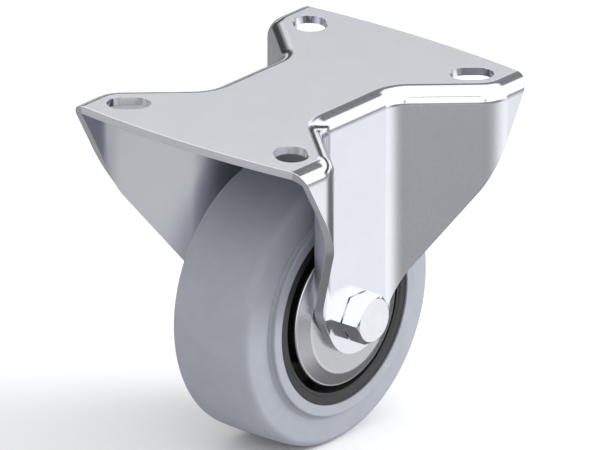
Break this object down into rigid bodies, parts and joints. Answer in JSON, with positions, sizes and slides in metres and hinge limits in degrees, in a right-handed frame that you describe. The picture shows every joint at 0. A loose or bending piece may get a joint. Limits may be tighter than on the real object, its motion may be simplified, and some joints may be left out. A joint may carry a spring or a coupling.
{
  "type": "fixed caster",
  "caption": "Fixed plate caster: pressed steel bracket with slotted mounting plate, and a rubber-tyred wheel running on ball bearings about a bolted axle.",
  "frame": {"origin": "centre of the mounting plate's top face", "axes": "+Z out of the mounting face, X along the rolling direction, Y along the axle with the bolt head at -Y"},
  "size_m": [0.1048, 0.086, 0.1054],
  "materials": {
    "zinc_sheet": "bright zinc plated, glossy",
    "zinc_fastener": "bright zinc plated, glossy",
    "guard_sheet": "zinc plated, satin",
    "bare_steel": "turned",
    "bearing_steel": "ground",
    "ball_steel": "polished",
    "cage_steel": "pressed",
    "shield_steel": "pressed",
    "nylon_ring": "natural nylon",
    "black_nylon": "moulded, satin",
    "grey_rubber": "moulded elastic rubber, satin"
  },
  "bodies": {
    "caster_bracket": {"bracket": "zinc_sheet", "axle_bolt": "zinc_fastener", "lock_nut": "zinc_fastener", "lock_nut_ring": "nylon_ring", "axle_sleeve": "bare_steel", "distance_tube": "bare_steel", "thread_guard_right": "guard_sheet", "spacer_ring_right": "bare_steel", "bearing_inner_ring_right": "bearing_steel", "thread_guard_left": "guard_sheet", "spacer_ring_left": "bare_steel", "bearing_inner_ring_left": "bearing_steel"},
    "wheel": {"wheel_centre": "black_nylon", "tyre": "grey_rubber", "bearing_outer_ring_right": "bearing_steel", "bearing_shield_outside_right": "shield_steel", "bearing_shield_inside_right": "shield_steel", "bearing_outer_ring_left": "bearing_steel", "bearing_shield_outside_left": "shield_steel", "bearing_shield_inside_left": "shield_steel"},
    "ball_train_right": {"bearing_balls_right": "ball_steel", "bearing_cage_right": "cage_steel"},
    "ball_train_left": {"bearing_balls_left": "ball_steel", "bearing_cage_left": "cage_steel"}
  },
  "joints": [
    {"name": "wheel_spin", "type": "hinge", "parent": "caster_bracket", "child": "wheel", "pos_m": [0, 0, -0.064], "axis": [0, 1, 0], "continuous": true},
    {"name": "ball_train_right_spin", "type": "hinge", "parent": "caster_bracket", "child": "ball_train_right", "pos_m": [0, -0.011, -0.064], "axis": [0, 1, 0], "continuous": true},
    {"name": "ball_train_left_spin", "type": "hinge", "parent": "caster_bracket", "child": "ball_train_left", "pos_m": [0, 0.011, -0.064], "axis": [0, 1, 0], "continuous": true}
  ],
  "couplings": [
    {"joint": "ball_train_right_spin", "follows": "wheel_spin", "ratio": 0.63288},
    {"joint": "ball_train_left_spin", "follows": "wheel_spin", "ratio": 0.63288}
  ]
}
